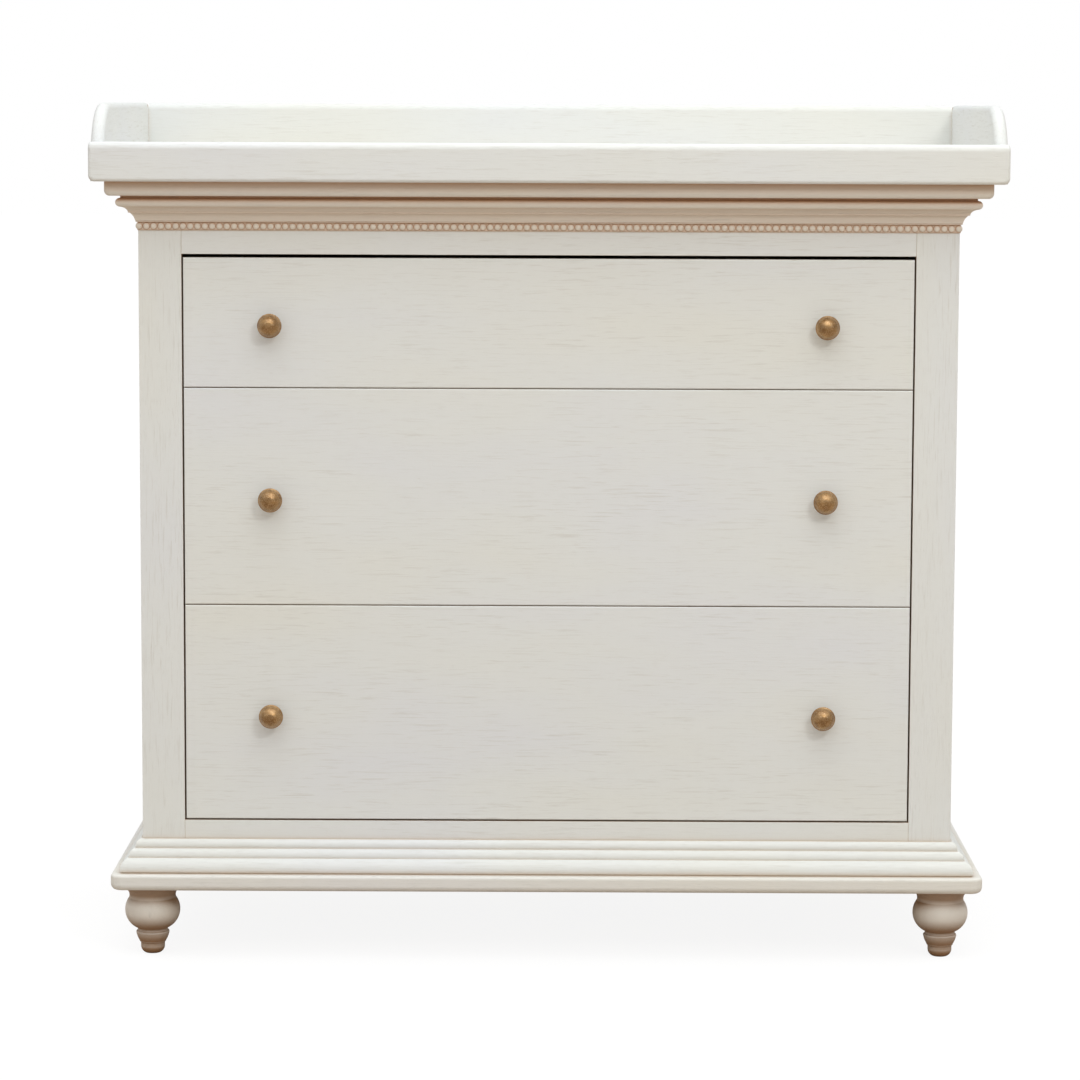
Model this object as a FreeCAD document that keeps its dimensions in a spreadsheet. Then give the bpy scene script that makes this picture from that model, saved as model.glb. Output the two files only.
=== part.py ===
import FreeCAD, Part
import math
import os
import re

import Sketcher

# A three-drawer nursery dresser with a removable changing tray.
# Millimetres. +X is to the right of a person facing the drawers, +Y is to the back, +Z is up.
# The origin is on the floor, under the middle of the whole object (tray overhang included).

V = FreeCAD.Vector
DOC = FreeCAD.newDocument("changing_table")

# Driving dimensions.
SIZES = {
    # carcass
    "carcass_width": 960,
    "carcass_depth": 480,
    "carcass_rise": 800,
    "panel_board": 18,
    "back_board": 6,
    "back_inset": 4,
    "stile_width": 50.2,
    "frame_board": 20,
    "top_rail_rise": 68.2,
    "bottom_rail_show": 22.4,
    "stretcher_rise": 60,
    "divider_board": 18,
    "divider_setback": 2,
    "frame_arris": 0.6,
    # plinth and base moulding
    "foot_height": 82.5,
    "plinth_board": 19,
    "plinth_overhang": 36,
    "plinth_corner": 14,
    "plinth_top_round": 3.5,
    "plinth_bottom_round": 7,
    "base_rise": 38,
    # feet
    "foot_setback": 46,
    "bulb_arc": 24.5,
    "collar_radius": 30.4,
    "waist_radius": 19,
    "toe_radius": 13,
    "foot_bolt_radius": 4,
    "foot_bolt_depth": 30,
    "plinth_hole_depth": 16,
    # top slab and cornice
    "slab_board": 24,
    "slab_overhang": 35.7,
    "slab_corner": 4,
    "slab_top_round": 3,
    "slab_bottom_round": 6,
    "cornice_rise": 29.5,
    "bead_rise": 11,
    "bead_overhang": 3,
    "mitre_reach": 60,
    # tray
    "tray_board": 16,
    "tray_overhang": 52,
    "tray_lip": 7.2,
    "tray_front_rise": 46.2,
    "tray_rise": 90.7,
    "tray_corner": 85,
    "tray_end_round": 7,
    "cleat_size": 16,
    "bracket_spread": 600,
    "bracket_width": 20,
    "bracket_leg": 30,
    "bracket_sheet": 2,
    "bracket_hole": 20,
    "screw_radius": 4,
    "screw_slot_radius": 2.4,
    "screw_head": 1.8,
    # anti-tip bracket
    "plate_width": 60,
    "plate_rise": 30,
    "plate_drop": 14,
    "plate_sheet": 3,
    "plate_hole_radius": 3,
    # drawers
    "gap": 1.8,
    "drawer_gap": 0.9,
    "deep_front": 255.9,
    "shallow_front": 152,
    "front_board": 20,
    "box_board": 12,
    "box_depth": 420,
    "deep_box": 190,
    "shallow_box": 100,
    "box_lift": 12,
    "base_sheet": 6,
    "groove_depth": 6,
    "groove_lift": 10,
    "knob_spread": 652,
    "knob_drop": 3,
    "knob_radius": 14.2,
    "knob_reach": 27,
    "knob_bore": 2,
    "knob_bore_depth": 14,
    "knob_screw_depth": 12,
    "knob_screw_head": 2.4,
    "knob_screw_radius": 4.2,
    "front_arris": 1.5,
    # slides
    "slide_length": 400,
    "slide_drop": 8,
    "slide_setback": 8,
    "packer_margin": 5,
    "packer_setback": 4,
    "slide_room": 12.9,
    "slide_sheet": 1.2,
    "outer_rise": 45,
    "middle_rise": 35,
    "inner_rise": 25,
    # clearance of a screw or bolt in its hole
    "hole_clearance": 0.3,
}

# Planes and levels, as formulas of the driving dimensions.
FACE = "((tray_overhang - carcass_depth) / 2)"
BACK = "((tray_overhang + carcass_depth) / 2)"
HALF = "(carcass_width / 2)"
OPENING = "(carcass_width / 2 - stile_width)"
PLINTH_TOP = "(foot_height + plinth_board)"
BASE_TOP = f"({PLINTH_TOP} + base_rise)"
RAIL_TOP = f"({BASE_TOP} + bottom_rail_show)"
CASE_TOP = f"({PLINTH_TOP} + carcass_rise)"
SLAB_TOP = f"({CASE_TOP} + slab_board)"
CORNICE_BASE = f"({CASE_TOP} - cornice_rise)"
BEAD_BASE = f"({CORNICE_BASE} - bead_rise)"
TRAY_BASE = f"({SLAB_TOP} - tray_lip)"
REAR_PLANE = f"({BACK} - back_inset)"
BOX_HALF = f"({OPENING} - slide_room)"
BOX_FRONT = f"({FACE} + front_board)"

# Each drawer: name, formula of its front's lower edge, alias of its front's height, alias of its box height.
DRAWERS = (
    ("lower", f"({RAIL_TOP} + gap)", "deep_front", "deep_box"),
    ("middle", f"({RAIL_TOP} + gap + deep_front + drawer_gap)", "deep_front", "deep_box"),
    ("upper", f"({RAIL_TOP} + gap + 2 * (deep_front + drawer_gap))", "shallow_front", "shallow_box"),
)
SIDES = (("left", -1), ("right", 1))

SUB_PARTS = []


def make_sheet():
    """The spreadsheet: a name, a number and an alias for every driving dimension."""
    sheet = DOC.addObject("Spreadsheet::Sheet", "Sizes")
    for row, (name, value) in enumerate(SIZES.items(), start=1):
        sheet.set(f"A{row}", name)
        sheet.set(f"B{row}", str(value))
        sheet.setAlias(f"B{row}", name)
    DOC.recompute()
    return sheet


SHEET = make_sheet()


def formula(text):
    """The same formula with every alias looked up in the sheet."""
    def look_up(word):
        return "Sizes." + word.group() if word.group() in SIZES else word.group()

    return re.sub(r"[a-z]\w*", look_up, str(text))


def value(text):
    """What a formula comes to now."""
    return float(SHEET.evalExpression(formula(text)))


def bind(thing, **formulas):
    """Binds properties of an object to formulas. A double underscore stands for a dot."""
    for name, text in formulas.items():
        thing.setExpression(name.replace("__", "."), formula(text))


def place(thing, x="0", y="0", z="0"):
    """Binds an object's place to formulas."""
    bind(thing, Placement__Base__x=x, Placement__Base__y=y, Placement__Base__z=z)
    return thing


def keep(thing):
    """Marks an object as a sub-part. Its label is the sub-part's name."""
    SUB_PARTS.append(thing)
    return thing


# ---------------------------------------------------------------- sketches and features


def new_body(name):
    return DOC.addObject("PartDesign::Body", name)


def origin_feature(body, role):
    return next(f for f in body.Origin.OriginFeatures if f.Role == role)


def new_sketch(body, role):
    """An empty sketch on one of the body's own planes."""
    drawing = body.newObject("Sketcher::SketchObject", f"{body.Name}_sketch")
    drawing.AttachmentSupport = [(origin_feature(body, role), "")]
    drawing.MapMode = "FlatFace"
    return drawing


def arc_middle(start, end, radius):
    """The middle of the short arc from start to end, which bulges to the right if radius is positive."""
    chord = end.sub(start)
    half = chord.Length / 2
    rise = abs(radius) - math.sqrt(radius * radius - half * half)
    right = V(chord.y, -chord.x, 0).normalize()
    return start.add(end).multiply(0.5).add(right.multiply(math.copysign(rise, radius)))


def draw_outline(drawing, points):
    """Draws a closed outline. A point is (across, up) or (across, up, radius), all formulas.

    A radius makes the edge that leaves the point an arc, which bulges to the right if it is positive.
    Every corner and every radius is held by a constraint that is bound to its formula.
    """
    corners = [V(value(point[0]), value(point[1]), 0) for point in points]
    edges = []
    for i, point in enumerate(points):
        start, end = corners[i], corners[(i + 1) % len(points)]
        if len(point) == 2:
            edges.append(Part.LineSegment(start, end))
        else:
            radius = value(point[2])
            first, last = (start, end) if radius > 0 else (end, start)
            edges.append(Part.Arc(first, arc_middle(start, end, radius), last))
    names = drawing.addGeometry(edges)
    ends = []
    for i, edge in enumerate(names):
        forward = drawing.Geometry[edge].StartPoint.distanceToPoint(corners[i]) < 1e-6
        ends.append((edge, 1 if forward else 2, 2 if forward else 1))
    joints = []
    dimensions = []
    for i, point in enumerate(points):
        edge, start, end = ends[i]
        following, following_start, _ = ends[(i + 1) % len(points)]
        joints.append(Sketcher.Constraint("Coincident", edge, end, following, following_start))
        dimensions.append((("DistanceX", -1, 1, edge, start), point[0]))
        dimensions.append((("DistanceY", -1, 1, edge, start), point[1]))
        if len(point) == 3:
            dimensions.append((("Radius", edge), point[2].lstrip("-")))
    drawing.addConstraint(joints)
    hold(drawing, dimensions)


def draw_circle(drawing, across, up, radius):
    """Draws a circle held by formulas."""
    centre = V(value(across), value(up), 0)
    edge = drawing.addGeometry(Part.Circle(centre, V(0, 0, 1), value(radius)))
    hold(drawing, [
        (("DistanceX", -1, 1, edge, 3), across),
        (("DistanceY", -1, 1, edge, 3), up),
        (("Radius", edge), radius),
    ])


def hold(drawing, dimensions):
    """Adds dimensions to a sketch and binds each one to its formula."""
    constraints = [Sketcher.Constraint(*what, value(text)) for what, text in dimensions]
    first = drawing.ConstraintCount
    drawing.addConstraint(constraints)
    for offset, (_, text) in enumerate(dimensions):
        drawing.setExpression(f"Constraints[{first + offset}]", formula(text))


def pad(body, drawing, length, symmetric=False, backward=False):
    feature = body.newObject("PartDesign::Pad", f"{body.Name}_pad")
    feature.Profile = drawing
    feature.SideType = "Symmetric" if symmetric else "One side"
    feature.Reversed = backward
    bind(feature, Length=length)
    return feature


def pocket(body, drawing, depth=None, backward=False):
    """A pocket of the given depth, or right through both ways. It has to take material away."""
    DOC.recompute()
    before = body.Shape.Volume
    feature = body.newObject("PartDesign::Pocket", f"{body.Name}_pocket")
    feature.Profile = drawing
    feature.Reversed = backward
    if depth is None:
        feature.SideType = "Symmetric"
        feature.Type = "ThroughAll"
    else:
        bind(feature, Length=depth)
    DOC.recompute()
    if body.Shape.Volume >= before:
        raise ValueError(f"{feature.Name} cuts nothing")
    return feature


def revolve(body, drawing):
    """Turns a sketch on the XZ plane a full turn about the Z axis."""
    feature = body.newObject("PartDesign::Revolution", f"{body.Name}_revolution")
    feature.Profile = drawing
    feature.ReferenceAxis = (origin_feature(body, "Z_Axis"), [""])
    feature.Angle = 360
    return feature


def round_edges(body, radius, choose):
    """Fillets every edge of the body for which choose(bounding box of the edge, edge) is true."""
    DOC.recompute()
    base = body.Tip
    names = [f"Edge{i}" for i, edge in enumerate(base.Shape.Edges, start=1) if choose(edge.BoundBox, edge)]
    if not names:
        raise ValueError(f"{body.Name} has no edge to round")
    feature = body.newObject("PartDesign::Fillet", f"{body.Name}_fillet")
    feature.Base = (base, names)
    bind(feature, Radius=radius)
    return feature


def near(a, b):
    return abs(a - b) < 0.01


# ---------------------------------------------------------------- plain boards and groups


def board(name, low, size):
    """A plain rectangular board: its low corner and its size along X, Y and Z, as formulas."""
    box = DOC.addObject("Part::Box", name)
    bind(box, Length=size[0], Width=size[1], Height=size[2])
    return place(box, *low)


def rod(name, radius, length, direction="up"):
    """A plain cylinder along +Z, or along +Y if its direction is back."""
    cylinder = DOC.addObject("Part::Cylinder", name)
    if direction == "back":
        cylinder.Placement.Rotation = FreeCAD.Rotation(V(1, 0, 0), -90)
    bind(cylinder, Radius=radius, Height=length)
    return cylinder


def group(name, pieces):
    """Separate identical pieces kept as one sub-part."""
    compound = DOC.addObject("Part::Compound", name)
    compound.Links = pieces
    return keep(compound)


def cut(name, base, tools):
    """A board with other shapes cut out of it."""
    if len(tools) == 1:
        tool = tools[0]
    else:
        tool = DOC.addObject("Part::MultiFuse", f"{name}_tool")
        tool.Shapes = tools
    result = DOC.addObject("Part::Cut", name)
    result.Base = base
    result.Tool = tool
    return result


def fuse(name, pieces):
    joined = DOC.addObject("Part::MultiFuse", name)
    joined.Shapes = pieces
    return joined


# ---------------------------------------------------------------- carcass


def carcass():
    """Side panels, bottom, back, stretchers, divider rails and slide packers."""
    behind = f"({FACE} + frame_board)"
    for side, sign in SIDES:
        low = f"-{HALF}" if sign < 0 else f"{HALF} - panel_board"
        size = ("panel_board", f"{BACK} - {behind}", "carcass_rise")
        keep(board(f"side_panel_{side}", (low, behind, PLINTH_TOP), size))
    inner = f"({HALF} - panel_board)"
    keep(board(
        "bottom_board",
        (f"-{inner}", behind, f"{RAIL_TOP} - panel_board"),
        (f"2 * {inner}", f"{REAR_PLANE} - back_board - {behind}", "panel_board"),
    ))
    keep(board(
        "back_panel",
        (f"-{inner}", f"{REAR_PLANE} - back_board", PLINTH_TOP),
        (f"2 * {inner}", "back_board", "carcass_rise - stretcher_rise"),
    ))
    front_stretcher = board(
        "front_stretcher",
        (f"-{inner}", behind, f"{CASE_TOP} - panel_board"),
        (f"2 * {inner}", "stretcher_rise", "panel_board"),
    )
    rear_stretcher = board(
        "rear_stretcher",
        (f"-{inner}", f"{REAR_PLANE} - panel_board", f"{CASE_TOP} - stretcher_rise"),
        (f"2 * {inner}", "panel_board", "stretcher_rise"),
    )
    group("top_stretchers", [front_stretcher, rear_stretcher])
    dividers = []
    for name, level, _, _ in DRAWERS[1:]:
        dividers.append(board(
            f"divider_below_{name}",
            (f"-{inner}", f"{behind} + divider_setback", f"{level} - (drawer_gap + divider_board) / 2"),
            (f"2 * {inner}", "stretcher_rise", "divider_board"),
        ))
    group("divider_rails", dividers)
    packers = []
    for name, level, _, box_height in DRAWERS:
        for side, sign in SIDES:
            low = f"-{inner}" if sign < 0 else OPENING
            base = f"{slide_level(level, box_height)} - outer_rise / 2 - packer_margin"
            packers.append(board(
                f"packer_{name}_{side}",
                (low, f"{behind} + packer_setback", base),
                (f"{inner} - {OPENING}", "slide_length + 2 * packer_margin", "outer_rise + 2 * packer_margin"),
            ))
    group("slide_packers", packers)


def face_frame():
    """Two stiles full height, with the rails between them."""
    for side, sign in SIDES:
        low = f"-{HALF}" if sign < 0 else OPENING
        eased_board(f"front_stile_{side}", low, PLINTH_TOP, "stile_width", "carcass_rise")
    eased_board("bottom_rail", f"-{OPENING}", PLINTH_TOP, f"2 * {OPENING}", "base_rise + bottom_rail_show")
    eased_board("top_rail", f"-{OPENING}", f"{CASE_TOP} - top_rail_rise", f"2 * {OPENING}", "top_rail_rise")


def eased_board(name, left, base, width, height):
    """A face-frame board whose front edges are softened."""
    body = new_body(name)
    drawing = new_sketch(body, "XZ_Plane")
    draw_outline(drawing, [("0", "0"), (width, "0"), (width, height), ("0", height)])
    pad(body, drawing, "frame_board", backward=True)
    round_edges(body, "frame_arris", lambda box, edge: near(box.YMin, 0) and near(box.YMax, 0))
    keep(place(body, left, FACE, base))


def slide_level(level, box_height):
    """The height of a drawer's slide centre: a little under the middle of its box."""
    return f"({level} + box_lift + {box_height} / 2 - slide_drop)"


# ---------------------------------------------------------------- mouldings

# Moulding profiles as (overhang, height above the moulding's base, radius of the arc that follows).
BASE_PROFILE = (
    ("0", "0"),
    ("23.5", "0"),
    ("23.5", "1.5"),
    ("24.6", "1.5", "13.5"),
    ("16.5", "17.3"),
    ("15", "17.3"),
    ("15", "18.3", "8.4"),
    ("9", "27.6"),
    ("7.5", "27.6"),
    ("7.5", "28.6", "7.6"),
    ("2.5", "base_rise"),
    ("0", "base_rise"),
)
CORNICE_PROFILE = (
    ("0", "0"),
    ("3", "0"),
    ("3.4", "1.2", "-14"),
    ("8.8", "9.4"),
    ("10.6", "9.6"),
    ("10.8", "11.4", "-9.5"),
    ("17.8", "16.4"),
    ("20", "16.8", "5.2"),
    ("21", "cornice_rise - 3"),
    ("18.6", "cornice_rise - 2.4"),
    ("18.6", "cornice_rise"),
    ("0", "cornice_rise"),
)
BEAD_PROFILE = (
    ("0", "0"),
    ("1.6", "0"),
    ("1.6", "1.4", "4.6"),
    ("1.6", "bead_rise - 1.6"),
    ("bead_overhang", "bead_rise - 1.6"),
    ("bead_overhang", "bead_rise"),
    ("0", "bead_rise"),
)


def mirrored(profile):
    """The same outline on the other side of its wall: an arc bulges the other way."""
    flipped = []
    for across, up, *radius in profile:
        turned = [r.lstrip("-") if r.startswith("-") else f"-{r}" for r in radius]
        flipped.append((f"-({across})", up, *turned))
    return flipped


def moulding(name, profile, base):
    """A mitred moulding round the front and the two sides of the carcass, as three lengths."""
    reach = "mitre_reach"
    front = new_body(f"{name}_front")
    drawing = new_sketch(front, "YZ_Plane")
    draw_outline(drawing, mirrored(profile))
    pad(front, drawing, f"2 * ({HALF} + {reach})", symmetric=True)
    for _, sign in SIDES:
        corner = f"{sign} * {HALF}"
        far = f"{sign} * ({HALF} + {reach} + 1)"
        mitre = new_sketch(front, "XY_Plane")
        draw_outline(mitre, [(corner, "0"), (far, f"-({reach} + 1)"), (far, "1"), (corner, "1")])
        pocket(front, mitre)
    keep(place(front, "0", FACE, base))
    for side, sign in SIDES:
        body = new_body(f"{name}_{side}")
        drawing = new_sketch(body, "XZ_Plane")
        draw_outline(drawing, profile if sign > 0 else mirrored(profile))
        pad(body, drawing, f"carcass_depth + {reach}", backward=True)
        mitre = new_sketch(body, "XY_Plane")
        draw_outline(mitre, [
            ("0", reach),
            (f"{sign} * ({reach} + 1)", "-1"),
            (f"{-sign}", "-1"),
            (f"{-sign}", reach),
        ])
        pocket(body, mitre)
        keep(place(body, f"{sign} * {HALF}", f"{FACE} - {reach}", base))


# ---------------------------------------------------------------- plinth, feet, top slab


def slab(name, overhang, thickness, corner, low, top_round, bottom_round):
    """A board that overhangs the carcass at the front and the sides, with rounded front corners and edges."""
    body = new_body(name)
    drawing = new_sketch(body, "XY_Plane")
    half = f"({HALF} + {overhang})"
    draw_outline(drawing, [
        (f"-{half}", f"-{overhang} + {corner}", corner),
        (f"-{half} + {corner}", f"-{overhang}"),
        (f"{half} - {corner}", f"-{overhang}", corner),
        (half, f"-{overhang} + {corner}"),
        (half, "carcass_depth"),
        (f"-{half}", "carcass_depth"),
    ])
    pad(body, drawing, thickness)
    depth = value("carcass_depth")
    rise = value(thickness)
    round_edges(
        body, top_round,
        lambda box, edge: near(box.ZMin, rise) and near(box.ZMax, rise) and not near(box.YMin, depth),
    )
    round_edges(
        body, bottom_round,
        lambda box, edge: near(box.ZMin, 0) and near(box.ZMax, 0) and not near(box.YMin, depth),
    )
    return place(body, "0", FACE, low)


FOOT_X = f"({HALF} + plinth_overhang - foot_setback)"
FOOT_FRONT = f"({FACE} - plinth_overhang + foot_setback)"
FOOT_BACK = f"({BACK} - foot_setback)"


def foot(name, x, y):
    """A turned foot: a neck under the plinth, a bulb, a waist with a ring, and a tapered toe."""
    body = new_body(name)
    drawing = new_sketch(body, "XZ_Plane")
    draw_outline(drawing, [
        ("0", "0"),
        ("toe_radius - 4", "0", "9"),
        ("toe_radius + 1.2", "9"),
        ("toe_radius + 1.4", "13"),
        ("toe_radius + 2.6", "13.6"),
        ("toe_radius + 2.8", "14.6", "30"),
        ("waist_radius + 0.6", "24", "2.2"),
        ("waist_radius - 0.6", "27", "-3"),
        ("waist_radius - 1", "30", "bulb_arc"),
        ("collar_radius - 2.4", "67", "-9"),
        ("collar_radius", "foot_height - 6"),
        ("collar_radius", "foot_height"),
        ("foot_bolt_radius + hole_clearance", "foot_height"),
        ("foot_bolt_radius + hole_clearance", "foot_height - foot_bolt_depth"),
        ("0", "foot_height - foot_bolt_depth"),
    ])
    revolve(body, drawing)
    keep(place(body, x, y, "0"))


def feet():
    """Four feet, and the hanger bolt that holds each one to the plinth."""
    bolts = []
    for side, sign in SIDES:
        for end, y in (("front", FOOT_FRONT), ("back", FOOT_BACK)):
            x = f"{sign} * {FOOT_X}"
            foot(f"foot_{end}_{side}", x, y)
            bolts.append(foot_bolt(f"bolt_{end}_{side}", x, y))
    group("foot_bolts", bolts)


def foot_bolt(name, x, y):
    """A hanger bolt: its lower end is in the foot and its upper end in the plinth."""
    shank = rod(name, "foot_bolt_radius", "foot_bolt_depth + plinth_hole_depth - 1")
    return place(shank, x, y, "foot_height - foot_bolt_depth + 0.5")


def plinth_and_top():
    """The plinth slab with its four blind bolt holes, and the top slab."""
    plain = slab(
        "plinth_board_plain", "plinth_overhang", "plinth_board", "plinth_corner",
        "foot_height", "plinth_top_round", "plinth_bottom_round",
    )
    holes = []
    for _, sign in SIDES:
        for y in (FOOT_FRONT, FOOT_BACK):
            hole = rod("plinth_hole", "foot_bolt_radius + hole_clearance", "plinth_hole_depth + 1")
            holes.append(place(hole, f"{sign} * {FOOT_X}", y, "foot_height - 1"))
    keep(cut("plinth_slab", plain, holes))
    keep(slab(
        "top_slab", "slab_overhang", "slab_board", "slab_corner",
        CASE_TOP, "slab_top_round", "slab_bottom_round",
    ))


# ---------------------------------------------------------------- changing tray


def tray():
    """A low front board, a back board and two side boards, joined by cleats and held by two brackets."""
    half = f"({HALF} + tray_overhang)"
    front = new_body("tray_front_board")
    drawing = new_sketch(front, "YZ_Plane")
    crown = "tray_board / 2"
    draw_outline(drawing, [
        ("0", "0"),
        ("tray_board", "0"),
        ("tray_board", f"tray_front_rise - {crown}", f"{crown} + 0.01"),
        ("0", f"tray_front_rise - {crown}"),
    ])
    pad(front, drawing, f"2 * {half}", symmetric=True)
    end = value(half)
    round_edges(
        front, "tray_end_round",
        lambda box, edge: near(abs(box.XMin), end) and near(box.XMin, box.XMax) and near(box.ZMax, 0),
    )
    round_edges(
        front, "4",
        lambda box, edge: near(abs(box.XMin), end) and near(box.XMin, box.XMax) and near(box.YMin, box.YMax),
    )
    keep(place(front, "0", f"{FACE} - tray_overhang", TRAY_BASE))
    for side, sign in SIDES:
        tray_side(side, sign, half)
    inside = f"({half} - tray_board)"
    back = new_body("tray_back_board")
    drawing = new_sketch(back, "YZ_Plane")
    draw_outline(drawing, [
        ("0", "0"),
        ("tray_board", "0"),
        ("tray_board", f"tray_rise - tray_lip - {crown}", f"{crown} + 0.01"),
        ("0", f"tray_rise - tray_lip - {crown}"),
    ])
    pad(back, drawing, f"2 * {inside}", symmetric=True)
    keep(place(back, "0", f"{BACK} - tray_board", SLAB_TOP))
    cleats = [board(
        "cleat_front",
        (f"-{inside}", f"{FACE} - tray_overhang + tray_board", SLAB_TOP),
        (f"2 * {inside}", "cleat_size", "cleat_size"),
    )]
    start = f"({FACE} - tray_overhang + tray_board + cleat_size)"
    for _, sign in SIDES:
        low = f"-{inside}" if sign < 0 else f"{inside} - cleat_size"
        cleats.append(board(
            "cleat_side",
            (low, start, SLAB_TOP),
            ("cleat_size", f"{BACK} - tray_board - {start}", "cleat_size"),
        ))
    group("tray_cleats", cleats)
    group("tray_brackets", [tray_bracket(f"tray_bracket_{side}", sign) for side, sign in SIDES])


def tray_side(side, sign, half):
    """A side board: its front top corner is a quarter circle, and its top and that corner are eased."""
    body = new_body(f"tray_side_{side}")
    drawing = new_sketch(body, "YZ_Plane")
    length = "(carcass_depth + tray_overhang - tray_board)"
    draw_outline(drawing, [
        ("0", "0"),
        (length, "0"),
        (length, "tray_rise"),
        ("tray_corner", "tray_rise", "tray_corner"),
        ("0", "tray_rise - tray_corner"),
    ])
    pad(body, drawing, "tray_board", symmetric=True)
    low = value("tray_rise - tray_corner")
    rise = value("tray_rise")
    face = value("tray_board") / 2
    round_edges(
        body, "tray_board / 2 - 0.4",
        lambda box, edge: near(abs(box.XMin), face) and near(box.XMin, box.XMax)
        and near(box.ZMax, rise) and box.ZMin > low - 0.1,
    )
    x = f"{sign} * ({half} - tray_board / 2)"
    keep(place(body, x, f"{FACE} - tray_overhang + tray_board", TRAY_BASE))


def tray_bracket(name, sign):
    """A steel angle inside the tray: one leg on the back board, one on the slab, each with its screw."""
    x = f"{sign} * bracket_spread / 2"
    wall = f"({BACK} - tray_board)"
    left = f"{x} - bracket_width / 2"
    upright = board(
        f"{name}_upright",
        (left, f"{wall} - bracket_sheet", SLAB_TOP),
        ("bracket_width", "bracket_sheet", "bracket_leg"),
    )
    foot_leg = board(
        f"{name}_leg",
        (left, f"{wall} - bracket_leg", SLAB_TOP),
        ("bracket_width", "bracket_leg", "bracket_sheet"),
    )
    upper = screw_head(f"{name}_upper_screw")
    upper.Placement.Rotation = FreeCAD.Rotation(V(1, 0, 0), 90)
    place(upper, x, f"{wall} - bracket_sheet", f"{SLAB_TOP} + bracket_hole")
    lower = screw_head(f"{name}_lower_screw")
    place(lower, x, f"{wall} - bracket_hole", f"{SLAB_TOP} + bracket_sheet")
    return fuse(name, [upright, foot_leg, upper, lower])


def screw_head(name):
    """The head of a wood screw, tapered toward its top."""
    head = DOC.addObject("Part::Cone", name)
    bind(head, Radius1="screw_radius", Radius2="screw_slot_radius", Height="screw_head")
    return head


def anti_tip_bracket():
    """A steel plate on the rear stretcher with a hole for the strap to the wall."""
    plate = board(
        "bracket_plate",
        ("-plate_width / 2", REAR_PLANE, f"{CASE_TOP} - plate_drop - plate_rise"),
        ("plate_width", "plate_sheet", "plate_rise"),
    )
    hole = rod("bracket_hole_tool", "plate_hole_radius", "3 * plate_sheet", direction="back")
    place(hole, "0", f"{REAR_PLANE} - plate_sheet", f"{CASE_TOP} - plate_drop - plate_rise / 2")
    keep(cut("anti_tip_bracket", plate, [hole]))


# ---------------------------------------------------------------- drawers


def drawer_front(name, level, height):
    """The inset front, its edges softened, with two through holes for the knob screws."""
    body = new_body(f"{name}_drawer_front")
    drawing = new_sketch(body, "XZ_Plane")
    half = f"({OPENING} - gap)"
    draw_outline(drawing, [(f"-{half}", "0"), (half, "0"), (half, height), (f"-{half}", height)])
    pad(body, drawing, "front_board", backward=True)
    knob_holes(body, height)
    half_width = value(half)
    rise = value(height)
    round_edges(body, "front_arris", lambda box, edge: near(box.YMin, 0) and near(box.YMax, 0) and (
        near(abs(box.XMin), half_width) or near(box.ZMax, 0) or near(box.ZMin, rise)))
    keep(place(body, "0", FACE, level))


def knob_holes(body, height, rise="0"):
    """Two screw holes through a board that stands on the XZ plane."""
    drawing = new_sketch(body, "XZ_Plane")
    for _, sign in SIDES:
        draw_circle(
            drawing, f"{sign} * knob_spread / 2", f"{height} / 2 - knob_drop - {rise}",
            "knob_bore + hole_clearance",
        )
    pocket(body, drawing)


def drawer_box(name, level, height, box_height):
    """Two grooved sides, a front and a back between them, and a bottom sheet in the grooves."""
    base = f"({level} + box_lift)"
    sides = []
    for side, sign in SIDES:
        body = new_body(f"{name}_drawer_side_{side}")
        drawing = new_sketch(body, "XZ_Plane")
        inner = "0" if sign > 0 else "box_board"
        groove = "groove_depth" if sign > 0 else "box_board - groove_depth"
        outer = "box_board" if sign > 0 else "0"
        draw_outline(drawing, [
            (outer, "0"),
            (inner, "0"),
            (inner, "groove_lift"),
            (groove, "groove_lift"),
            (groove, "groove_lift + base_sheet"),
            (inner, "groove_lift + base_sheet"),
            (inner, box_height),
            (outer, box_height),
        ])
        pad(body, drawing, "box_depth", backward=True)
        low = f"-{BOX_HALF}" if sign < 0 else f"{BOX_HALF} - box_board"
        sides.append(place(body, low, BOX_FRONT, base))
    group(f"{name}_drawer_sides", sides)
    inside = f"({BOX_HALF} - box_board)"
    head = new_body(f"{name}_drawer_box_front")
    drawing = new_sketch(head, "XZ_Plane")
    draw_outline(drawing, [
        (f"-{inside}", "groove_lift + base_sheet"),
        (inside, "groove_lift + base_sheet"),
        (inside, box_height),
        (f"-{inside}", box_height),
    ])
    pad(head, drawing, "box_board", backward=True)
    knob_holes(head, height, "box_lift")
    place(head, "0", BOX_FRONT, base)
    tail = board(
        f"{name}_drawer_box_back",
        (f"-{inside}", f"{BOX_FRONT} + box_depth - box_board", f"{base} + groove_lift + base_sheet"),
        (f"2 * {inside}", "box_board", f"{box_height} - groove_lift - base_sheet"),
    )
    group(f"{name}_drawer_ends", [head, tail])
    keep(board(
        f"{name}_drawer_bottom",
        (f"-({inside} + groove_depth)", BOX_FRONT, f"{base} + groove_lift"),
        (f"2 * ({inside} + groove_depth)", "box_depth", "base_sheet"),
    ))


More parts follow.
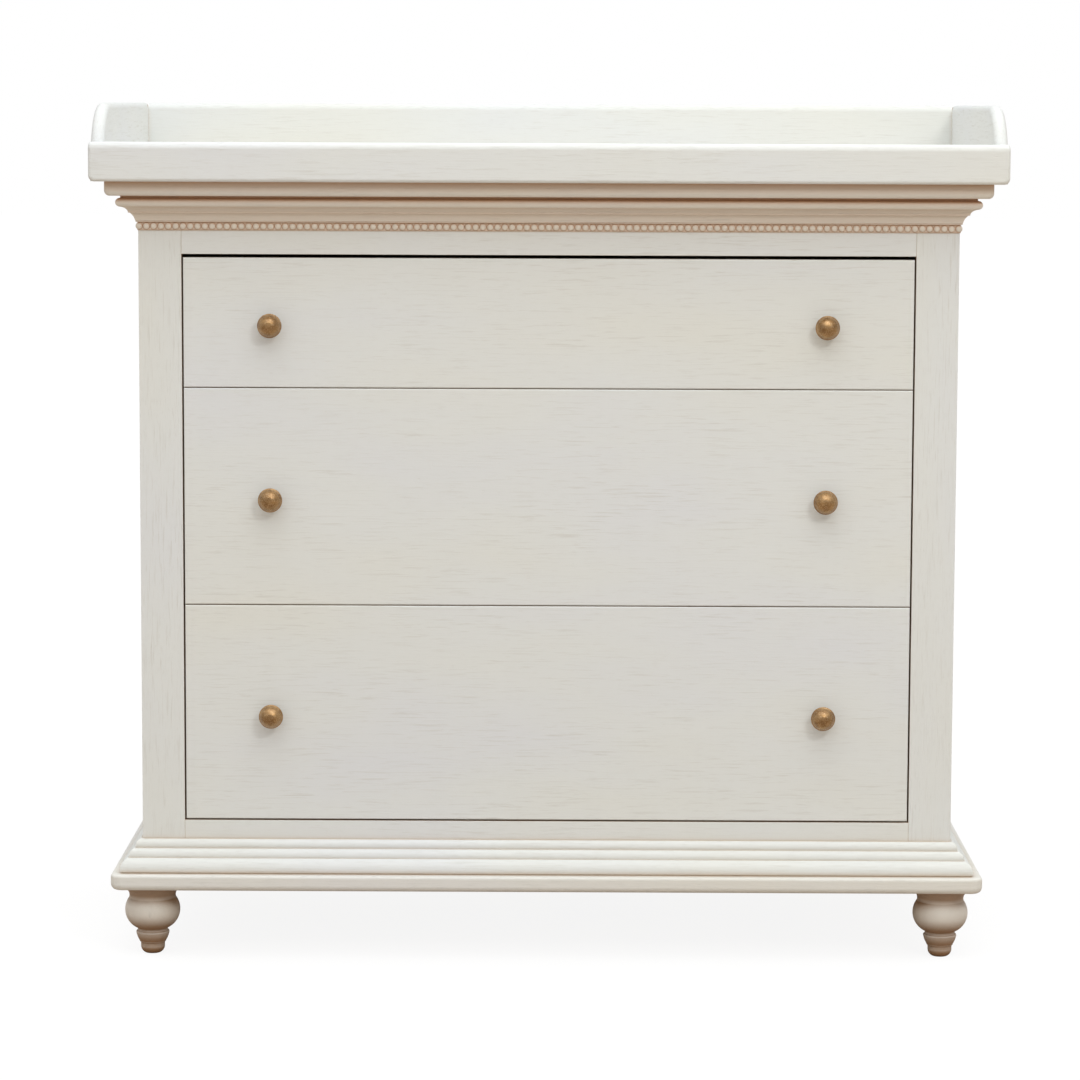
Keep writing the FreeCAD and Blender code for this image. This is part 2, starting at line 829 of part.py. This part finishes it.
def knob(name, x, level):
    """A turned mushroom knob: base disc, neck, domed head, and a threaded blind hole in its back."""
    body = new_body(name)
    drawing = new_sketch(body, "XZ_Plane")
    draw_outline(drawing, [
        ("knob_bore", "0"),
        ("8.6", "0"),
        ("8.6", "1.4", "1.6"),
        ("6.4", "3.2", "-7"),
        ("6.6", "9.5"),
        ("knob_radius - 1.6", "12"),
        ("knob_radius - 1.6", "13", "1.4"),
        ("knob_radius", "14.6", "1.5"),
        ("knob_radius - 0.9", "16.6"),
        ("knob_radius - 1.1", "17", "16"),
        ("4.5", "knob_reach - 0.5", "22"),
        ("1", "knob_reach"),
        ("0", "knob_reach"),
        ("0", "knob_bore_depth"),
        ("knob_bore", "knob_bore_depth"),
    ])
    revolve(body, drawing)
    body.Placement.Rotation = FreeCAD.Rotation(V(1, 0, 0), 90)
    return place(body, x, FACE, level)


def knob_screw(name, x, level):
    """A machine screw from inside the drawer: its head on the box front, its end in the knob."""
    length = "box_board + front_board + knob_screw_depth"
    shank = rod(f"{name}_shank", "knob_bore - 0.1", length, direction="back")
    place(shank, x, f"{FACE} - knob_screw_depth", level)
    head = rod(f"{name}_head", "knob_screw_radius", "knob_screw_head", direction="back")
    place(head, x, f"{BOX_FRONT} + box_board", level)
    return fuse(name, [shank, head])


def knobs(name, level, height):
    """The two knobs of a drawer and their screws."""
    turned = []
    screws = []
    for side, sign in SIDES:
        x = f"{sign} * knob_spread / 2"
        centre = f"{level} + {height} / 2 - knob_drop"
        turned.append(knob(f"{name}_knob_{side}", x, centre))
        screws.append(knob_screw(f"{name}_screw_{side}", x, centre))
    group(f"{name}_drawer_knobs", turned)
    group(f"{name}_drawer_knob_screws", screws)


# ---------------------------------------------------------------- slides

# Slide members as (name, where the web starts, where the lips end, height), across the slide from the packer.
CABINET_MEMBER = ("cabinet", "0", "9", "outer_rise")
INTERMEDIATE_MEMBER = ("intermediate", "2", "10.4", "middle_rise")
DRAWER_MEMBER = ("drawer", "slide_room", "4.6", "inner_rise")


def slide_member(name, member, sign, level):
    """A rolled channel: a web with two lips that point across the slide."""
    _, web, lip, rise = member
    body = new_body(name)
    drawing = new_sketch(body, "XZ_Plane")
    inward = -sign
    toward = 1 if value(lip) > value(web) else -1
    back_of_web = f"{inward} * ({web})"
    front_of_web = f"{inward} * ({web} + {toward} * slide_sheet)"
    tip = f"{inward} * ({lip})"
    half = f"({rise} / 2)"
    inner_half = f"({rise} / 2 - slide_sheet)"
    draw_outline(drawing, [
        (back_of_web, f"-{half}"),
        (tip, f"-{half}"),
        (tip, f"-{inner_half}"),
        (front_of_web, f"-{inner_half}"),
        (front_of_web, inner_half),
        (tip, inner_half),
        (tip, half),
        (back_of_web, half),
    ])
    pad(body, drawing, "slide_length", backward=True)
    return place(body, f"{sign} * {OPENING}", f"{FACE} + frame_board + slide_setback", level)


def slides():
    """The three members of each slide. All the cabinet members are fixed to the carcass."""
    fixed = []
    for name, level, _, box_height in DRAWERS:
        centre = slide_level(level, box_height)
        for side, sign in SIDES:
            fixed.append(slide_member(f"{name}_cabinet_{side}", CABINET_MEMBER, sign, centre))
        for member in (INTERMEDIATE_MEMBER, DRAWER_MEMBER):
            pair = [
                slide_member(f"{name}_{member[0]}_{side}", member, sign, centre)
                for side, sign in SIDES
            ]
            group(f"{name}_slide_{member[0]}_members", pair)
    group("slide_cabinet_members", fixed)


# ---------------------------------------------------------------- whole object


def build():
    carcass()
    face_frame()
    moulding("base_moulding", BASE_PROFILE, PLINTH_TOP)
    moulding("cornice", CORNICE_PROFILE, CORNICE_BASE)
    moulding("bead_strip", BEAD_PROFILE, BEAD_BASE)
    plinth_and_top()
    feet()
    tray()
    anti_tip_bracket()
    slides()
    for name, level, height, box_height in DRAWERS:
        drawer_front(name, level, height)
        drawer_box(name, level, height, box_height)
        knobs(name, level, height)
    DOC.recompute()


def check():
    """Stops if any object failed or any sub-part has no valid shape."""
    for thing in DOC.Objects:
        if "Invalid" in thing.State or "Error" in thing.State:
            raise ValueError(f"{thing.Name} failed: {thing.State}")
    for part in SUB_PARTS:
        if part.Shape.isNull() or not part.Shape.isValid():
            raise ValueError(f"{part.Label} has no valid shape")


def export():
    os.makedirs("parts", exist_ok=True)
    for part in SUB_PARTS:
        part.Shape.exportStep(os.path.join("parts", f"{part.Label}.step"))
    box = Part.makeCompound([part.Shape for part in SUB_PARTS]).optimalBoundingBox(False)
    print(f"{len(SUB_PARTS)} sub-parts, {box.XLength:.1f} x {box.YLength:.1f} x {box.ZLength:.1f} mm")
    for axis, low, high in zip("XYZ", (box.XMin, box.YMin, box.ZMin), (box.XMax, box.YMax, box.ZMax)):
        print(f"{axis} {low:.2f} {high:.2f}")


build()
check()
export()
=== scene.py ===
"""Looks of the changing table: brushed paint over oak, antique brass, real beads, studio light and camera."""

import math

import bmesh
import bpy
from mathutils import Matrix, Vector


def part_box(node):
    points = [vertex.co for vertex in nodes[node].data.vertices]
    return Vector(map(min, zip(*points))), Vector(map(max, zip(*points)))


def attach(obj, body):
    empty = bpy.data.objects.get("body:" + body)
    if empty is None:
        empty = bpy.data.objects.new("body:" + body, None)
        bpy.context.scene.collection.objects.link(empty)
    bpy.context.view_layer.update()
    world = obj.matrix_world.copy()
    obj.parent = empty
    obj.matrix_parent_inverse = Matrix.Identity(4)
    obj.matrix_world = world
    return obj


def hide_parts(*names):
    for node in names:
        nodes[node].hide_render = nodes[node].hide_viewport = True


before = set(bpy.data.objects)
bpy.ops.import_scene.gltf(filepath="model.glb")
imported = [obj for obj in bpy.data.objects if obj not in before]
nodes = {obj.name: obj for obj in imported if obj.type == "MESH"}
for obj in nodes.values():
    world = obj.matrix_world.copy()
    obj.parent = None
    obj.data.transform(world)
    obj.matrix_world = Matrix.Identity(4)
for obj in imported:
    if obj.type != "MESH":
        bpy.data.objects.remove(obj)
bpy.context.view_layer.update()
scene = bpy.context.scene

# ---------------------------------------------------------------- node trees


def add(tree, kind, inputs=None, **settings):
    """A shader node with its settings, and its inputs given as numbers or as the sockets that feed them."""
    made = tree.nodes.new(kind)
    for key, setting in settings.items():
        setattr(made, key, setting)
    for key, source in (inputs or {}).items():
        if isinstance(source, bpy.types.NodeSocket):
            tree.links.new(source, made.inputs[key])
        else:
            made.inputs[key].default_value = source
    return made


def ramp(tree, factor, stops):
    """A colour ramp over (position, colour) stops; a plain number stands for a grey."""
    made = add(tree, "ShaderNodeValToRGB", {"Fac": factor})
    elements = made.color_ramp.elements
    while len(elements) < len(stops):
        elements.new(0.5)
    for element, (position, colour) in zip(elements, stops):
        element.position = position
        grey = isinstance(colour, (int, float))
        element.color = (*([colour] * 3 if grey else colour), 1)
    return made.outputs["Color"]


def noise(tree, vector, scale=1.0, detail=4.0, roughness=0.55, distortion=0.0):
    made = add(tree, "ShaderNodeTexNoise", {
        "Vector": vector, "Scale": scale, "Detail": detail, "Roughness": roughness, "Distortion": distortion,
    })
    return made.outputs["Fac"]


def multiply(tree, first, second):
    return add(tree, "ShaderNodeMath", {0: first, 1: second}, operation="MULTIPLY").outputs[0]


def blend(tree, factor, first, second):
    """One colour turning into another by a factor."""
    made = add(tree, "ShaderNodeMix", data_type="RGBA")
    for socket, source in zip((made.inputs[0], made.inputs[6], made.inputs[7]), (factor, first, second)):
        if isinstance(source, bpy.types.NodeSocket):
            tree.links.new(source, socket)
        else:
            socket.default_value = source if isinstance(source, (int, float)) else (*source, 1)
    return made.outputs[2]


def stretched(tree, grain, along, across):
    """Object coordinates in metres, stretched along the grain axis."""
    place = add(tree, "ShaderNodeTexCoord").outputs["Object"]
    scale = [along if axis == grain else across for axis in "XYZ"]
    return add(tree, "ShaderNodeMapping", {"Vector": place, "Scale": scale}).outputs["Vector"]


def shader(name):
    """A new material, its tree and its principled shader."""
    material = bpy.data.materials.new(name)
    material.use_nodes = True
    tree = material.node_tree
    return material, tree, tree.nodes["Principled BSDF"]


def give(tree, principled, colour, roughness, height, depth):
    """Links the colour and the roughness, and a bump of that depth in metres."""
    tree.links.new(colour, principled.inputs["Base Color"])
    tree.links.new(roughness, principled.inputs["Roughness"])
    bump = add(tree, "ShaderNodeBump", {"Height": height, "Strength": 1.0, "Distance": depth})
    tree.links.new(bump.outputs["Normal"], principled.inputs["Normal"])


# ---------------------------------------------------------------- materials

PAINT = (0.785, 0.81, 0.80)
PAINT_COOL = (0.77, 0.795, 0.82)
PAINT_WARM = (0.79, 0.805, 0.765)
STREAK = (0.60, 0.59, 0.545)
PORE = (0.67, 0.66, 0.62)
# Painted shade: brown tones (full, pale and dark) laid into recesses where ambient occlusion finds them,
# standing for the warm bounce light that falls short there.
PAINTED_SHADE_TONE = (0.575, 0.365, 0.225)
PALE_PAINTED_SHADE = (0.56, 0.43, 0.31)
DARK_PAINTED_SHADE = (0.30, 0.165, 0.08)
# Painted warm light: the warm tone toward which the paint of the lower, shaded pieces is tinted, as if lit by
# bounce from a wooden floor.
WARM_BOUNCE_TINT = (0.82, 0.66, 0.48)
# How dark the painted shadow of the plinth on the foot's neck is.
NECK_SHADOW = 0.82
PAINT_RELIEF = 0.00025


def painted_wood(
    name, grain, shade_reach=0.045, shade_full=0.38, shade_none=0.92, bounce_warmth=0.0, shade_tone=PAINTED_SHADE_TONE, neck=None,
):
    """Whitewash brushed over open-grained oak: fine streaks and pores, and cloudy tint. Over it lies painted
    shade: a brown tint wherever ambient occlusion finds a recess of the mouldings, standing for the warm
    bounce light that falls short there; bounce_warmth tints the whole paint toward painted warm bounce light.
    A neck is a pair of heights between which a painted shadow of the plinth darkens the paint."""
    material, tree, principled = shader(name)
    clouds = noise(tree, stretched(tree, grain, 1.6, 4.5), detail=3)
    # The paint tinted toward the warm bounce light (painted warm light).
    tints = [
        tuple((1 - bounce_warmth) * c + bounce_warmth * w for c, w in zip(paint, WARM_BOUNCE_TINT))
        for paint in (PAINT_COOL, PAINT, PAINT_WARM)
    ]
    tint = ramp(tree, clouds, list(zip((0.34, 0.5, 0.68), tints)))
    streaks = noise(tree, stretched(tree, grain, 22, 420), detail=5, roughness=0.62, distortion=0.35)
    patches = noise(tree, stretched(tree, grain, 3.2, 16), detail=3, distortion=0.6)
    streak_mask = multiply(
        tree,
        ramp(tree, streaks, [(0.54, 0.0), (0.72, 1.0)]),
        ramp(tree, patches, [(0.36, 0.25), (0.66, 1.0)]),
    )
    pores = noise(tree, stretched(tree, grain, 75, 1500), detail=2)
    pore_mask = ramp(tree, pores, [(0.60, 0.0), (0.72, 1.0)])
    brushed = blend(tree, multiply(tree, streak_mask, 0.6), tint, STREAK)
    brushed = blend(tree, multiply(tree, pore_mask, 0.35), brushed, PORE)
    # Painted shade: brown wherever ambient occlusion finds a recess within the reach.
    open_sky = add(tree, "ShaderNodeAmbientOcclusion", {"Distance": shade_reach}, samples=8)
    painted_shade = ramp(tree, open_sky.outputs["AO"], [(shade_full, 1.0), (shade_none, 0.0)])
    # Painted shadow of the plinth: the foot's neck darkens between two heights.
    if neck is not None:
        place = add(tree, "ShaderNodeTexCoord").outputs["Object"]
        level = add(tree, "ShaderNodeSeparateXYZ", {"Vector": place}).outputs["Z"]
        low, high = neck
        plinth_shadow = add(tree, "ShaderNodeMapRange", {
            0: level, 1: low, 2: high, 3: 0.0, 4: NECK_SHADOW,
        }).outputs[0]
        painted_shade = add(tree, "ShaderNodeMath", {0: painted_shade, 1: plinth_shadow}, operation="MAXIMUM").outputs[0]
    colour = blend(tree, painted_shade, brushed, shade_tone)
    rough = ramp(tree, streaks, [(0.35, 0.40), (0.75, 0.60)])
    pits = multiply(tree, pore_mask, -0.45)
    height = add(tree, "ShaderNodeMath", {0: streaks, 1: pits}, operation="ADD").outputs[0]
    give(tree, principled, colour, rough, height, PAINT_RELIEF)
    principled.inputs["Specular IOR Level"].default_value = 0.38
    return material


def plain_wood(name, light, dark, grain):
    """Bare planed wood with growth rings drawn out along the grain."""
    material, tree, principled = shader(name)
    rings = noise(tree, stretched(tree, grain, 2.2, 45), detail=4, distortion=1.4)
    fibres = noise(tree, stretched(tree, grain, 30, 900), detail=3)
    colour = ramp(tree, rings, [(0.30, light), (0.52, dark), (0.60, light), (0.75, dark)])
    colour = blend(tree, multiply(tree, fibres, 0.35), colour, tuple(0.62 * c for c in dark))
    give(tree, principled, colour, ramp(tree, fibres, [(0.3, 0.55), (0.7, 0.75)]), fibres, 0.0002)
    return material


def antique_brass(name):
    """Cast brass with a cloudy brown patina, rubbed bright in specks and slightly pitted."""
    material, tree, principled = shader(name)
    place = add(tree, "ShaderNodeTexCoord").outputs["Object"]
    speckle = noise(tree, place, scale=1100, detail=3, roughness=0.7)
    cloud = noise(tree, place, scale=120, detail=3)
    patina = ramp(tree, cloud, [(0.35, (0.24, 0.125, 0.042)), (0.65, (0.42, 0.245, 0.097))])
    rubbed = multiply(tree, ramp(tree, speckle, [(0.50, 0.0), (0.66, 1.0)]), 0.6)
    colour = blend(tree, rubbed, patina, (0.80, 0.59, 0.35))
    give(tree, principled, colour, ramp(tree, speckle, [(0.35, 0.42), (0.70, 0.28)]), speckle, 0.00012)
    principled.inputs["Metallic"].default_value = 0.85
    principled.inputs["Coat Weight"].default_value = 0.4
    principled.inputs["Coat Roughness"].default_value = 0.20
    return material


def rolled_steel(name, tone, gloss):
    """Zinc-plated sheet, with fine rolling lines along the slide."""
    material, tree, principled = shader(name)
    lines = noise(tree, stretched(tree, "Y", 8, 1300), detail=3)
    spangle = noise(tree, stretched(tree, "Y", 90, 90), detail=2)
    colour = ramp(tree, spangle, [(0.35, tuple(0.90 * c for c in tone)), (0.65, tone)])
    give(tree, principled, colour, ramp(tree, lines, [(0.3, gloss), (0.7, gloss + 0.14)]), lines, 0.00004)
    principled.inputs["Metallic"].default_value = 1.0
    return material


PAINTS = {  # which grain directions each paint is needed in, how far and how dark its painted shade in the recesses lies, and how far it is tinted toward painted warm bounce light
    "carcass": ("XYZ", {"shade_reach": 0.03, "shade_tone": PALE_PAINTED_SHADE}),
    "front": ("X", {"shade_reach": 0.006, "shade_full": 0.1, "shade_none": 0.7, "shade_tone": PALE_PAINTED_SHADE}),
    "tray": ("XY", {"shade_reach": 0.012, "shade_full": 0.05, "shade_none": 0.62}),
    "base": ("XY", {"shade_reach": 0.018, "shade_full": 0.25, "shade_none": 0.85, "shade_tone": PALE_PAINTED_SHADE}),
    "plinth": (
        "X",
        {
            "shade_reach": 0.018, "shade_full": 0.25, "shade_none": 0.85, "bounce_warmth": 0.16,
            "shade_tone": PALE_PAINTED_SHADE,
        },
    ),
    "cornice": ("XY", {"shade_reach": 0.05, "shade_full": 0.42, "shade_none": 1.0, "bounce_warmth": 0.36}),
    "slab": ("X", {"shade_reach": 0.020, "shade_full": 0.44, "shade_none": 1.0, "bounce_warmth": 0.30}),
    # The feet: dark painted shade, painted warm bounce light, and the painted shadow of the plinth on the
    # neck.
    "foot": (
        "Z",
        {
            "shade_reach": 0.07, "shade_full": 0.42, "shade_none": 0.92, "bounce_warmth": 0.30,
            "shade_tone": DARK_PAINTED_SHADE, "neck": (0.062, 0.072),
        },
    ),
    "bead": ("X", {"shade_reach": 0.014, "shade_full": 0.44, "shade_none": 0.94, "bounce_warmth": 0.45}),
}
PAINTED = {
    (kind, grain): painted_wood(f"{kind}_paint_{grain.lower()}", grain, **shade_settings)
    for kind, (grains, shade_settings) in PAINTS.items() for grain in grains
}
BOX_WOOD = {
    grain: plain_wood(f"drawer_box_wood_{grain.lower()}", (0.68, 0.53, 0.36), (0.56, 0.41, 0.26), grain)
    for grain in "XY"
}
FINISHES = {
    "raw_wood": plain_wood("raw_wood", (0.60, 0.44, 0.28), (0.46, 0.31, 0.18), "X"),
    "plywood": plain_wood("plywood", (0.66, 0.53, 0.38), (0.54, 0.41, 0.27), "X"),
    "antique_brass": antique_brass("antique_brass"),
    "slide_steel": rolled_steel("slide_steel", (0.55, 0.56, 0.57), 0.30),
    "zinc_steel": rolled_steel("zinc_steel", (0.62, 0.61, 0.57), 0.26),
}


def grain_of(name):
    """The axis along which a board's grain runs."""
    if "stile" in name or "side_panel" in name or name.startswith("foot_"):
        return "Z"
    if name.endswith(("_left", "_right", "_sides")):
        return "Y"
    return "X"


PAINT_OF = (  # (how the node's name begins, its paint); anything else has the carcass paint
    ("tray_", "tray"),
    ("cornice_", "cornice"),
    ("base_moulding_", "base"),
    ("top_slab", "slab"),
    ("plinth_slab", "plinth"),
    ("foot_", "foot"),
)


def finish_of(name, finish):
    """The material of a CAD node whose slot in the record is that finish."""
    grain = grain_of(name)
    if finish == "drawer_box_wood":
        return BOX_WOOD[grain]
    if finish != "painted_wood":
        return FINISHES[finish]
    if name.endswith("_drawer_front"):
        return PAINTED["front", grain]
    kind = next((paint for start, paint in PAINT_OF if name.startswith(start)), "carcass")
    return PAINTED[kind, grain]


for name, node in nodes.items():
    slot = node.data.materials[0].name.split(".")[0]
    node.material_slots[0].material = finish_of(name, slot)

# ---------------------------------------------------------------- soft edges of the plain boards

PLAIN_BOARDS = (
    "side_panel_left", "side_panel_right", "bottom_board", "divider_rails", "slide_packers", "top_stretchers",
    "tray_cleats", "back_panel",
    *(
        f"{level}_drawer_{part}"
        for level in ("upper", "middle", "lower") for part in ("sides", "ends", "bottom")
    ),
)
ARRIS = 0.0006
WELD_REACH = 1e-5


def soften(node):
    """Takes the sharp arris off a board."""
    weld = node.modifiers.new("weld", "WELD")
    weld.merge_threshold = WELD_REACH
    bevel = node.modifiers.new("arris", "BEVEL")
    bevel.width = ARRIS
    bevel.segments = 2
    bevel.limit_method = "ANGLE"
    bevel.angle_limit = math.radians(40)


for name in PLAIN_BOARDS:
    soften(nodes[name])

# ---------------------------------------------------------------- bead moulding

BEAD_PITCH = 0.00855
BEAD_RADIUS = 0.0042
BEAD_STAND = 0.0029
BEAD_CENTRE = 0.0049
BEAD_RINGS = 7
BEAD_SIDES = 18
STRIP_PROFILE = (  # (how far it stands out, height), from the wall at the bottom to the wall at the top
    (0.0, 0.0), (0.0010, 0.0), (0.0013, 0.0003), (0.0010, 0.0006), (0.0003, 0.0008), (0.0003, 0.0092),
    (0.0016, 0.0094), (0.0027, 0.0098), (0.0029, 0.0102), (0.0028, 0.0106), (0.0024, 0.0110), (0.0, 0.0110),
)


def bead(mesh, centre, out, along):
    """Half a flattened ball standing out of the strip, closed at its back."""
    up = Vector((0, 0, 1))
    rings = []
    for k in range(BEAD_RINGS):
        angle = 0.5 * math.pi * k / BEAD_RINGS
        radius = BEAD_RADIUS * math.cos(angle)
        depth = BEAD_STAND * math.sin(angle)
        ring = []
        for j in range(BEAD_SIDES):
            turn = 2 * math.pi * j / BEAD_SIDES
            offset = out * depth + along * (radius * math.cos(turn)) + up * (radius * math.sin(turn))
            ring.append(mesh.verts.new(centre + offset))
        rings.append(ring)
    tip = mesh.verts.new(centre + out * BEAD_STAND)
    for low, high in zip(rings, rings[1:]):
        for j in range(BEAD_SIDES):
            n = (j + 1) % BEAD_SIDES
            mesh.faces.new((low[j], low[n], high[n], high[j])).smooth = True
    for j in range(BEAD_SIDES):
        mesh.faces.new((rings[-1][j], rings[-1][(j + 1) % BEAD_SIDES], tip)).smooth = True
    mesh.faces.new(rings[0][::-1])


def strip(mesh, ends):
    """The backing of the beads, its profile swept between two mitred or square ends."""
    rows = [[mesh.verts.new(end(stand, rise)) for stand, rise in STRIP_PROFILE] for end in ends]
    count = len(STRIP_PROFILE)
    for k in range(count):
        n = (k + 1) % count
        mesh.faces.new((rows[0][k], rows[0][n], rows[1][n], rows[1][k]))
    mesh.faces.new(rows[0][::-1])
    mesh.faces.new(rows[1])


def bead_row(name, node, ends, start, stop, out):
    """One length of bead moulding that stands for its CAD node."""
    mesh = bmesh.new()
    strip(mesh, ends)
    run = stop - start
    along = run.normalized()
    count = int(run.length / BEAD_PITCH)
    slack = run.length - (count - 1) * BEAD_PITCH
    for k in range(count):
        bead(mesh, start + along * (slack / 2 + k * BEAD_PITCH) + Vector((0, 0, BEAD_CENTRE)), out, along)
    bmesh.ops.recalc_face_normals(mesh, faces=mesh.faces)
    data = bpy.data.meshes.new(name)
    mesh.to_mesh(data)
    mesh.free()
    piece = bpy.data.objects.new(name, data)
    scene.collection.objects.link(piece)
    # The bead paint carries painted shade between the beads and painted warm bounce light on them.
    data.materials.append(PAINTED["bead", "X"])
    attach(piece, "cabinet")
    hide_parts(node)
    return piece


front_low, front_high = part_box("bead_strip_front")
left_low, left_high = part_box("bead_strip_left")
base = front_low.z
face = front_high.y
back = left_high.y
half = left_high.x
bead_row(
    "bead_moulding_front", "bead_strip_front",
    (
        lambda stand, rise: Vector((half - stand, face - stand, base + rise)),
        lambda stand, rise: Vector((stand - half, face - stand, base + rise)),
    ),
    Vector((half - BEAD_RADIUS, face, base)), Vector((BEAD_RADIUS - half, face, base)), Vector((0, -1, 0)),
)
for side, sign in (("left", 1), ("right", -1)):
    wall = sign * half
    bead_row(
        f"bead_moulding_{side}", f"bead_strip_{side}",
        (
            lambda stand, rise: Vector((wall - sign * stand, face - stand, base + rise)),
            lambda stand, rise: Vector((wall - sign * stand, back, base + rise)),
        ),
        Vector((wall, face - BEAD_RADIUS, base)), Vector((wall, back, base)), Vector((-sign, 0, 0)),
    )

# ---------------------------------------------------------------- floor, light and camera

scene.view_settings.view_transform = "Standard"
scene.view_settings.look = "None"

FLOOR_SIZE = 30.0
floor_mesh = bmesh.new()
bmesh.ops.create_grid(floor_mesh, x_segments=8, y_segments=8, size=FLOOR_SIZE)
floor_data = bpy.data.meshes.new("floor")
floor_mesh.to_mesh(floor_data)
floor_mesh.free()
floor = bpy.data.objects.new("floor", floor_data)
scene.collection.objects.link(floor)
# The floor and the backdrop are white to the eye. What they throw back on the object is softer and warmer,
# as from a room with a wooden floor.
FLOOR_SEEN = 0.89
FLOOR_SHADE = (0.125, 0.125, 0.125)
FLOOR_BOUNCE = [(0.3, (0.44, 0.37, 0.30)), (0.7, (0.47, 0.39, 0.32))]
floor_material = bpy.data.materials.new("pale_floor")
floor_material.use_nodes = True
tree = floor_material.node_tree
tree.nodes.clear()
cloud = noise(tree, add(tree, "ShaderNodeTexCoord").outputs["Object"], scale=1.5, detail=2)
glow = add(tree, "ShaderNodeEmission", {"Color": (1, 1, 1, 1), "Strength": FLOOR_SEEN})
shade = add(tree, "ShaderNodeBsdfDiffuse", {"Color": (*FLOOR_SHADE, 1)})
bounce = add(tree, "ShaderNodeBsdfDiffuse", {"Color": ramp(tree, cloud, FLOOR_BOUNCE)})
looked_at = add(tree, "ShaderNodeAddShader", {0: glow.outputs[0], 1: shade.outputs[0]})
surface = add(tree, "ShaderNodeMixShader", {
    0: add(tree, "ShaderNodeLightPath").outputs["Is Camera Ray"],
    1: bounce.outputs[0],
    2: looked_at.outputs[0],
})
add(tree, "ShaderNodeOutputMaterial", {"Surface": surface.outputs[0]})
floor_data.materials.append(floor_material)

world = bpy.data.worlds.new("studio")
scene.world = world
world.use_nodes = True
tree = world.node_tree
tree.nodes.clear()
direction = add(tree, "ShaderNodeTexCoord").outputs["Generated"]
rise = add(tree, "ShaderNodeSeparateXYZ", {"Vector": direction}).outputs["Z"]
room = ramp(tree, rise, [(0.0, (0.36, 0.355, 0.34)), (0.35, (0.45, 0.45, 0.44)), (0.8, (1.0, 1.0, 1.0))])
light = add(tree, "ShaderNodeBackground", {"Color": room, "Strength": 1.30})
seen = add(tree, "ShaderNodeBackground", {"Color": (1, 1, 1, 1), "Strength": 1.0})
choice = add(tree, "ShaderNodeMixShader", {
    0: add(tree, "ShaderNodeLightPath").outputs["Is Camera Ray"],
    1: light.outputs[0],
    2: seen.outputs[0],
})
add(tree, "ShaderNodeOutputWorld", {"Surface": choice.outputs[0]})


def aim(thing, at, towards):
    thing.location = at
    thing.rotation_euler = (Vector(towards) - Vector(at)).to_track_quat("-Z", "Y").to_euler()


def softbox(name, at, towards, size, watts, colour):
    lamp = bpy.data.lights.new(name, "AREA")
    lamp.shape = "RECTANGLE"
    lamp.size, lamp.size_y = size
    lamp.energy = watts
    lamp.color = colour
    lamp_object = bpy.data.objects.new(name, lamp)
    scene.collection.objects.link(lamp_object)
    aim(lamp_object, at, towards)


MIDDLE = (0, -0.2, 0.55)
softbox("key_light", (1.5, -3.3, 2.7), MIDDLE, (0.6, 0.6), 25, (1.0, 0.985, 0.95))
softbox("top_light", (0.1, -1.3, 3.1), MIDDLE, (2.4, 1.6), 16, (1.0, 1.0, 0.99))
softbox("fill_light", (-2.6, -3.2, 1.4), MIDDLE, (2.2, 2.2), 4, (1.0, 0.97, 0.93))

# The camera stands far in front, level with the top of the tray, and looks slightly down.
CAMERA_AT = Vector((0.0092, -4.7402, 1.0090))
YAW, PITCH, ROLL = 0.00402, 0.11234, 0.00365
LENS, SENSOR = 128.82, 36.0
level = Vector((-math.sin(YAW), math.cos(YAW), 0))
ahead = math.cos(PITCH) * level - math.sin(PITCH) * Vector((0, 0, 1))
above = math.sin(PITCH) * level + math.cos(PITCH) * Vector((0, 0, 1))
across = Vector((math.cos(YAW), math.sin(YAW), 0))
right = math.cos(ROLL) * across + math.sin(ROLL) * above
upright = math.cos(ROLL) * above - math.sin(ROLL) * across
camera_data = bpy.data.cameras.new("camera")
camera_data.lens = LENS
camera_data.sensor_width = SENSOR
camera = bpy.data.objects.new("camera", camera_data)
scene.collection.objects.link(camera)
axes = Matrix((right, upright, -ahead)).transposed().to_4x4()
camera.matrix_world = Matrix.Translation(CAMERA_AT) @ axes
scene.camera = camera
